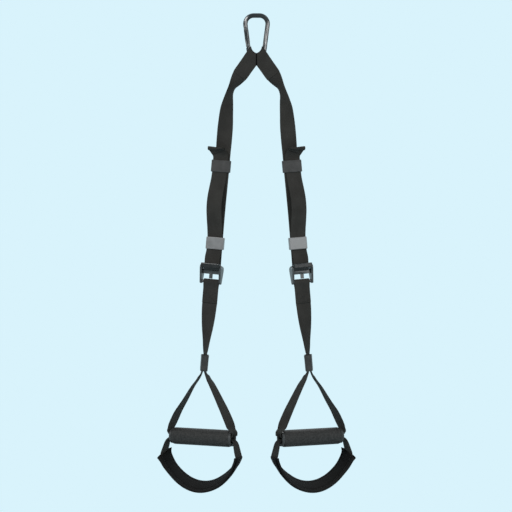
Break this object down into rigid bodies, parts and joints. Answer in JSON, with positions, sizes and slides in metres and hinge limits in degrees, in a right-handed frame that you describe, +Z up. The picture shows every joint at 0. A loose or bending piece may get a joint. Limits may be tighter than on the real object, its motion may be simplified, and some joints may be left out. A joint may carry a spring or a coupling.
{
  "type": "suspension trainer",
  "caption": "Carabiner carrying adjustable webbing straps, each with a cam buckle, a foam grip in a sling and a padded foot loop.",
  "frame": {"origin": "top of the inside of the carabiner, where the anchor lies", "axes": "+Z up along the hanging straps, +X to the right strap, +Y away from the viewer"},
  "size_m": [0.3962, 0.119, 0.9545],
  "materials": {
    "black_metal": "black anodised aluminium, satin with bright edges",
    "steel": "plain zinc plated steel",
    "grey_metal": "satin grey metal plate",
    "webbing": "flat woven black webbing, matt",
    "keeper_grey": "matt dark grey",
    "rubber_grey": "smooth mid grey with a soft shine",
    "ferrule_black": "matt near black",
    "foam": "closed cell foam, fine grain, matt",
    "plastic": "moulded dark plastic",
    "padding": "black padded textile with sewn edges"
  },
  "bodies": {
    "carabiner": {"carabiner_body": "black_metal", "gate_rivet": "steel"},
    "gate": {"carabiner_gate": "black_metal", "gate_latch_pin": "steel", "gate_plunger": "steel", "gate_spring": "steel"},
    "left_eye": {"left_strap_eye": "webbing"},
    "left_arm": {"left_main_strap": "webbing"},
    "left_adjuster": {"left_buckle_frame": "grey_metal", "left_cam_pin": "steel", "left_cam_spring": "steel", "left_strap_turn": "webbing", "left_tail_strap": "webbing"},
    "left_tail": {"left_tail_tab": "webbing", "left_upper_keeper": "keeper_grey"},
    "left_keeper": {"left_lower_keeper": "rubber_grey"},
    "left_cam": {"left_cam_lever": "black_metal"},
    "left_lower": {"left_lower_strap": "webbing", "left_ferrule": "ferrule_black", "left_sling": "webbing"},
    "left_grip": {"left_grip_tube": "plastic", "left_foam_grip": "foam", "left_inner_end_cap": "plastic", "left_outer_end_cap": "plastic"},
    "left_foot": {"left_foot_webbing": "webbing", "left_foot_cradle": "padding"},
    "right_eye": {"right_strap_eye": "webbing"},
    "right_arm": {"right_main_strap": "webbing"},
    "right_adjuster": {"right_buckle_frame": "grey_metal", "right_cam_pin": "steel", "right_cam_spring": "steel", "right_strap_turn": "webbing", "right_tail_strap": "webbing"},
    "right_tail": {"right_tail_tab": "webbing", "right_upper_keeper": "keeper_grey"},
    "right_keeper": {"right_lower_keeper": "rubber_grey"},
    "right_cam": {"right_cam_lever": "black_metal"},
    "right_lower": {"right_lower_strap": "webbing", "right_ferrule": "ferrule_black", "right_sling": "webbing"},
    "right_grip": {"right_grip_tube": "plastic", "right_foam_grip": "foam", "right_inner_end_cap": "plastic", "right_outer_end_cap": "plastic"},
    "right_foot": {"right_foot_webbing": "webbing", "right_foot_cradle": "padding"}
  },
  "joints": [
    {"name": "gate_hinge", "type": "hinge", "parent": "carabiner", "child": "gate", "pos_m": [-0.0169, 0, -0.0545], "axis": [0, 1, 0], "range_deg": [0, 24], "stiffness_Nm_per_rad": 0.02, "springref_deg": -28.65},
    {"name": "left_spread", "type": "hinge", "parent": "carabiner", "child": "left_eye", "pos_m": [0, 0, -0.062], "axis": [0, 1, 0], "range_deg": [0, 25]},
    {"name": "left_swing", "type": "hinge", "parent": "left_eye", "child": "left_arm", "pos_m": [-0.03443, 0, -0.11616], "axis": [1, 0, 0], "range_deg": [-60, 60]},
    {"name": "left_adjust", "type": "slide", "parent": "left_arm", "child": "left_adjuster", "axis": [-0.0863, 0, -0.9963], "range_m": [-0.02, 0.1], "deforming": ["left_main_strap"]},
    {"name": "left_tail_run", "type": "slide", "parent": "left_adjuster", "child": "left_tail", "axis": [-0.0863, 0, -0.9963], "range_m": [-0.02, 0.1], "deforming": ["left_tail_strap"]},
    {"name": "left_keeper_slide", "type": "slide", "parent": "left_adjuster", "child": "left_keeper", "axis": [-0.0863, 0, -0.9963], "range_m": [-0.02, 0.012]},
    {"name": "left_cam_hinge", "type": "hinge", "parent": "left_adjuster", "child": "left_cam", "pos_m": [-0.09088, -0.00647, -0.4989], "axis": [0.9623, -0.2588, -0.0833], "range_deg": [0, 45], "stiffness_Nm_per_rad": 0.03, "springref_deg": -34.38},
    {"name": "left_lower_swing", "type": "hinge", "parent": "left_adjuster", "child": "left_lower", "pos_m": [-0.09157, 0, -0.52694], "axis": [0.9623, -0.2588, -0.0833], "range_deg": [-60, 60]},
    {"name": "left_grip_spin", "type": "hinge", "parent": "left_lower", "child": "left_grip", "pos_m": [-0.1084, 0, -0.838], "axis": [0.9063, -0.4226, 0], "continuous": true},
    {"name": "left_foot_swing", "type": "hinge", "parent": "left_lower", "child": "left_foot", "pos_m": [-0.1084, 0, -0.838], "axis": [0.9063, -0.4226, 0], "range_deg": [-85, 85], "deforming": ["left_foot_webbing"]},
    {"name": "right_spread", "type": "hinge", "parent": "carabiner", "child": "right_eye", "pos_m": [0, 0, -0.062], "axis": [0, -1, 0], "range_deg": [0, 25]},
    {"name": "right_swing", "type": "hinge", "parent": "right_eye", "child": "right_arm", "pos_m": [0.03443, 0, -0.11616], "axis": [-1, 0, 0], "range_deg": [-60, 60]},
    {"name": "right_adjust", "type": "slide", "parent": "right_arm", "child": "right_adjuster", "axis": [0.0863, 0, -0.9963], "range_m": [-0.02, 0.1], "deforming": ["right_main_strap"]},
    {"name": "right_tail_run", "type": "slide", "parent": "right_adjuster", "child": "right_tail", "axis": [0.0863, 0, -0.9963], "range_m": [-0.02, 0.1], "deforming": ["right_tail_strap"]},
    {"name": "right_keeper_slide", "type": "slide", "parent": "right_adjuster", "child": "right_keeper", "axis": [0.0863, 0, -0.9963], "range_m": [-0.02, 0.012]},
    {"name": "right_cam_hinge", "type": "hinge", "parent": "right_adjuster", "child": "right_cam", "pos_m": [0.09088, -0.00647, -0.4989], "axis": [0.9623, 0.2588, 0.0833], "range_deg": [0, 45], "stiffness_Nm_per_rad": 0.03, "springref_deg": -34.38},
    {"name": "right_lower_swing", "type": "hinge", "parent": "right_adjuster", "child": "right_lower", "pos_m": [0.09157, 0, -0.52694], "axis": [0.9623, 0.2588, 0.0833], "range_deg": [-60, 60]},
    {"name": "right_grip_spin", "type": "hinge", "parent": "right_lower", "child": "right_grip", "pos_m": [0.1084, 0, -0.838], "axis": [0.9063, 0.4226, 0], "continuous": true},
    {"name": "right_foot_swing", "type": "hinge", "parent": "right_lower", "child": "right_foot", "pos_m": [0.1084, 0, -0.838], "axis": [0.9063, 0.4226, 0], "range_deg": [-85, 85], "deforming": ["right_foot_webbing"]}
  ],
  "couplings": [
    {"joint": "left_tail_run", "follows": "left_adjust", "ratio": 1},
    {"joint": "right_tail_run", "follows": "right_adjust", "ratio": 1}
  ]
}
